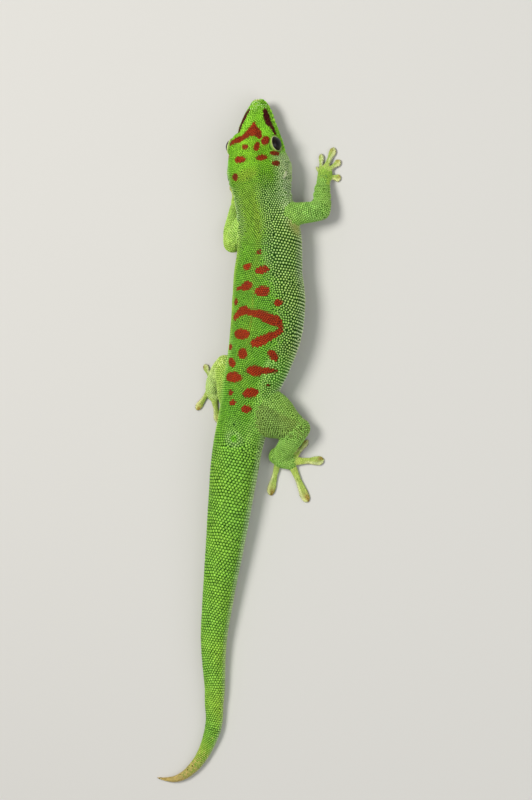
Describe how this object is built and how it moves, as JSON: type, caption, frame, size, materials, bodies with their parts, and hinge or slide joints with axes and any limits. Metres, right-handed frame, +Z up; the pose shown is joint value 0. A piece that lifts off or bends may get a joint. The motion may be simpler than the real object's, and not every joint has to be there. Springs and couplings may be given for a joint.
{
  "type": "giant day gecko, still life-size model",
  "caption": "Life-size day gecko lying on its belly with bent body, spread limbs with padded digits and a long tail curled at the tip.",
  "frame": {"origin": "on the floor, below the middle of the outline seen from above", "axes": "+Y towards the head, +Z up from the floor through the back, +X towards the animal's right"},
  "size_m": [0.0773, 0.2557, 0.0177],
  "materials": {
    "scaled_skin": "fine granular scales, satin, bright green with brick-red spots",
    "digit_skin": "smooth small scales, satin, yellowish tips",
    "eye": "polished, near black"
  },
  "bodies": {
    "root": {"head": "scaled_skin", "lower_jaw": "scaled_skin", "neck": "scaled_skin", "torso": "scaled_skin", "pelvis": "scaled_skin", "tail_base": "scaled_skin", "tail_middle": "scaled_skin", "tail_tip": "scaled_skin", "eye_left": "eye", "eye_right": "eye", "upper_arm_left": "scaled_skin", "forearm_left": "scaled_skin", "hand_left": "scaled_skin", "thigh_left": "scaled_skin", "shank_left": "scaled_skin", "foot_left": "scaled_skin", "finger_left_1": "digit_skin", "toe_left_1": "digit_skin", "finger_left_2": "digit_skin", "toe_left_2": "digit_skin", "finger_left_3": "digit_skin", "toe_left_3": "digit_skin", "finger_left_4": "digit_skin", "toe_left_4": "digit_skin", "finger_left_5": "digit_skin", "toe_left_5": "digit_skin", "upper_arm_right": "scaled_skin", "forearm_right": "scaled_skin", "hand_right": "scaled_skin", "thigh_right": "scaled_skin", "shank_right": "scaled_skin", "foot_right": "scaled_skin", "finger_right_1": "digit_skin", "toe_right_1": "digit_skin", "finger_right_2": "digit_skin", "toe_right_2": "digit_skin", "finger_right_3": "digit_skin", "toe_right_3": "digit_skin", "finger_right_4": "digit_skin", "toe_right_4": "digit_skin", "finger_right_5": "digit_skin", "toe_right_5": "digit_skin"}
  },
  "joints": []
}
